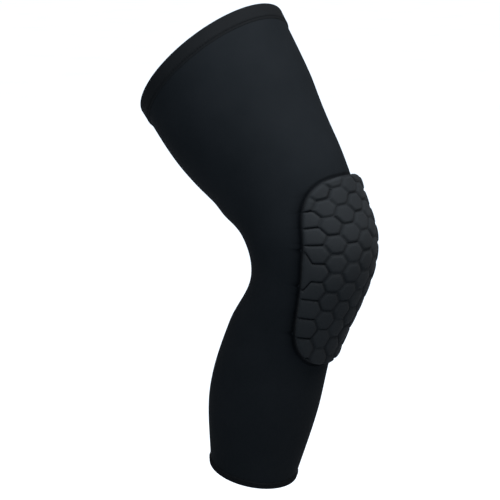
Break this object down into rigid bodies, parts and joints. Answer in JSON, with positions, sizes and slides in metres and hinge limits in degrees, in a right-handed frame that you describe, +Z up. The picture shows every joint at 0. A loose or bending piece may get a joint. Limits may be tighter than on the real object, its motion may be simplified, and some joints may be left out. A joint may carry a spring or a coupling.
{
  "type": "padded knee sleeve",
  "caption": "Long knitted compression sleeve bent at the knee, open at thigh and calf, with folded hems and a honeycomb foam pad over the kneecap.",
  "frame": {"origin": "middle of the knee, inside the hollow of the sleeve", "axes": "+Z up as worn, +X the way the knee points, +Y across the leg; the thigh leans back towards -X"},
  "size_m": [0.2577, 0.1686, 0.4951],
  "materials": {
    "knit": "matt black stretch knit with a faint sheen",
    "hem_knit": "folded and stitched black knit",
    "pad_cover": "charcoal knit bonded over foam cells"
  },
  "bodies": {
    "root": {"sleeve": "knit", "thigh_hem": "hem_knit", "calf_hem": "hem_knit", "knee_pad": "pad_cover"}
  },
  "joints": []
}
